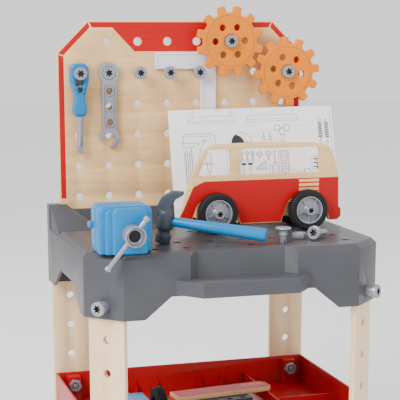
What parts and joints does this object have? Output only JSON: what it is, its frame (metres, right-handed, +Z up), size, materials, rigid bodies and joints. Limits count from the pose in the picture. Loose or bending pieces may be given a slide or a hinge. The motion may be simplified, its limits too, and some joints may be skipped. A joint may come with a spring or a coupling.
{
  "type": "toy tool bench",
  "caption": "Toy workbench with peg board, worktop, parts tray, meshing gears, vise, hanging hand tools and a model bus on free wheels.",
  "frame": {"origin": "centre of the whole bench's footprint box, on the floor", "axes": "+Z up, +X to the right seen from the front, +Y towards the peg board; the worktop's handle faces -Y"},
  "size_m": [0.474, 0.3958, 0.8166],
  "materials": {
    "worktop_plastic": "moulded, fine satin texture",
    "beech_ply": "sanded and clear coated",
    "tray_plastic": "moulded, semi-gloss",
    "red_painted_wood": "satin paint on plywood",
    "gear_plastic": "moulded, satin",
    "blue_plastic": "moulded, semi-gloss",
    "slate_plastic": "moulded, semi-gloss",
    "cream_plastic": "moulded, satin",
    "silver_plastic": "moulded grey, slightly pearly",
    "poster_paper": "printed card, matt",
    "tyre_rubber": "soft black, matt"
  },
  "bodies": {
    "bench": {"worktop": "worktop_plastic", "back_panel": "beech_ply", "parts_tray": "tray_plastic", "front_leg_left": "beech_ply", "back_leg_left": "beech_ply", "corner_screw_left": "silver_plastic", "corner_nut_left": "silver_plastic", "back_bolt_left": "silver_plastic", "back_nut_left": "silver_plastic", "tray_bolt_left": "silver_plastic", "tray_nut_left": "silver_plastic", "front_leg_right": "beech_ply", "back_leg_right": "beech_ply", "corner_screw_right": "silver_plastic", "corner_nut_right": "silver_plastic", "back_bolt_right": "silver_plastic", "back_nut_right": "silver_plastic", "tray_bolt_right": "silver_plastic", "tray_nut_right": "silver_plastic", "screwdriver_screw": "silver_plastic", "wrench_screw": "silver_plastic", "board_screw_left": "silver_plastic", "board_screw_middle": "silver_plastic", "board_screw_right": "silver_plastic", "gear_1_spacer": "silver_plastic", "gear_1_screw": "silver_plastic", "gear_2_spacer": "silver_plastic", "gear_2_screw": "silver_plastic", "vise_fixed_jaw": "blue_plastic"},
    "gear_1": {"gear_1": "gear_plastic"},
    "gear_2": {"gear_2": "gear_plastic"},
    "screwdriver": {"screwdriver_handle": "blue_plastic", "screwdriver_shaft": "silver_plastic"},
    "wrench": {"wrench": "silver_plastic"},
    "try_square": {"try_square": "cream_plastic"},
    "poster": {"poster": "poster_paper"},
    "vise_jaw": {"vise_moving_jaw": "blue_plastic"},
    "vise_spindle": {"vise_spindle": "silver_plastic"},
    "vise_lever": {"vise_lever": "silver_plastic"},
    "hammer": {"hammer_head": "slate_plastic", "hammer_handle": "blue_plastic"},
    "rivet_peg": {"rivet_peg": "silver_plastic"},
    "loose_nut": {"loose_nut": "silver_plastic"},
    "loose_screw": {"loose_screw": "silver_plastic"},
    "bus": {"bus_panel": "red_painted_wood", "bus_chassis": "beech_ply", "bus_axle_front": "silver_plastic", "bus_axle_rear": "silver_plastic"},
    "tray_plank": {"tray_plank": "red_painted_wood"},
    "tray_beam": {"tray_beam": "slate_plastic"},
    "tray_tyre": {"tray_tyre": "tyre_rubber"},
    "tray_bracket": {"tray_bracket": "blue_plastic"},
    "wheel_front_near": {"bus_tyre_front_near": "tyre_rubber", "bus_hub_front_near": "silver_plastic"},
    "wheel_front_far": {"bus_tyre_front_far": "tyre_rubber", "bus_hub_front_far": "silver_plastic"},
    "wheel_rear_near": {"bus_tyre_rear_near": "tyre_rubber", "bus_hub_rear_near": "silver_plastic"},
    "wheel_rear_far": {"bus_tyre_rear_far": "tyre_rubber", "bus_hub_rear_far": "silver_plastic"}
  },
  "joints": [
    {"name": "gear_1_spin", "type": "hinge", "parent": "bench", "child": "gear_1", "pos_m": [0.066, 0.14465, 0.76], "axis": [0, -1, 0], "continuous": true},
    {"name": "gear_2_spin", "type": "hinge", "parent": "bench", "child": "gear_2", "pos_m": [0.166, 0.14465, 0.71], "axis": [0, -1, 0], "continuous": true},
    {"name": "screwdriver_swing", "type": "hinge", "parent": "bench", "child": "screwdriver", "pos_m": [-0.184, 0.15665, 0.71], "axis": [0, -1, 0], "range_deg": [-40, 6]},
    {"name": "wrench_swing", "type": "hinge", "parent": "bench", "child": "wrench", "pos_m": [-0.134, 0.16215, 0.71], "axis": [0, -1, 0], "range_deg": [-6, 20]},
    {"name": "try_square_lift", "type": "slide", "parent": "bench", "child": "try_square", "axis": [0, 0, 1], "range_m": [0, 0.03]},
    {"name": "poster_lift", "type": "slide", "parent": "bench", "child": "poster", "axis": [0, 0, 1], "range_m": [0, 0.03]},
    {"name": "vise_jaw_slide", "type": "slide", "parent": "bench", "child": "vise_jaw", "axis": [0, -1, 0], "range_m": [0, 0.04]},
    {"name": "vise_spindle_turn", "type": "hinge", "parent": "vise_jaw", "child": "vise_spindle", "pos_m": [-0.1758, -0.16185, 0.496], "axis": [0, -1, 0], "range_deg": [0, 1440]},
    {"name": "vise_lever_slide", "type": "slide", "parent": "vise_spindle", "child": "vise_lever", "axis": [0.6347, 0, 0.7727], "range_m": [-0.008, 0.036]},
    {"name": "hammer_lift", "type": "slide", "parent": "bench", "child": "hammer", "axis": [0, 0, 1], "range_m": [0, 0.1]},
    {"name": "rivet_peg_pull", "type": "slide", "parent": "bench", "child": "rivet_peg", "axis": [0, 0, 1], "range_m": [0, 0.05]},
    {"name": "loose_nut_lift", "type": "slide", "parent": "bench", "child": "loose_nut", "axis": [0, 0, 1], "range_m": [0, 0.05]},
    {"name": "loose_screw_lift", "type": "slide", "parent": "bench", "child": "loose_screw", "axis": [0, 0, 1], "range_m": [0, 0.05]},
    {"name": "bus_roll", "type": "slide", "parent": "bench", "child": "bus", "axis": [1, 0, 0], "range_m": [-0.01, 0.022]},
    {"name": "wheel_front_near_spin", "type": "hinge", "parent": "bus", "child": "wheel_front_near", "pos_m": [-0.0035, -0.01135, 0.4989], "axis": [0, -1, 0], "continuous": true},
    {"name": "wheel_front_far_spin", "type": "hinge", "parent": "bus", "child": "wheel_front_far", "pos_m": [-0.0035, 0.05665, 0.4989], "axis": [0, -1, 0], "continuous": true},
    {"name": "wheel_rear_near_spin", "type": "hinge", "parent": "bus", "child": "wheel_rear_near", "pos_m": [0.1465, -0.01135, 0.4989], "axis": [0, -1, 0], "continuous": true},
    {"name": "wheel_rear_far_spin", "type": "hinge", "parent": "bus", "child": "wheel_rear_far", "pos_m": [0.1465, 0.05665, 0.4989], "axis": [0, -1, 0], "continuous": true},
    {"name": "tray_plank_lift", "type": "slide", "parent": "bench", "child": "tray_plank", "axis": [0, 0, 1], "range_m": [0, 0.05]},
    {"name": "tray_beam_pull", "type": "slide", "parent": "bench", "child": "tray_beam", "axis": [0, -1, 0], "range_m": [0, 0.04]},
    {"name": "tray_tyre_lift", "type": "slide", "parent": "bench", "child": "tray_tyre", "axis": [0, 0, 1], "range_m": [0, 0.05]},
    {"name": "tray_bracket_lift", "type": "slide", "parent": "bench", "child": "tray_bracket", "axis": [0, 0, 1], "range_m": [0, 0.05]}
  ],
  "couplings": [
    {"joint": "gear_2_spin", "follows": "gear_1_spin", "ratio": -1},
    {"joint": "vise_jaw_slide", "follows": "vise_spindle_turn", "m_per_rad": 0.0015915}
  ]
}
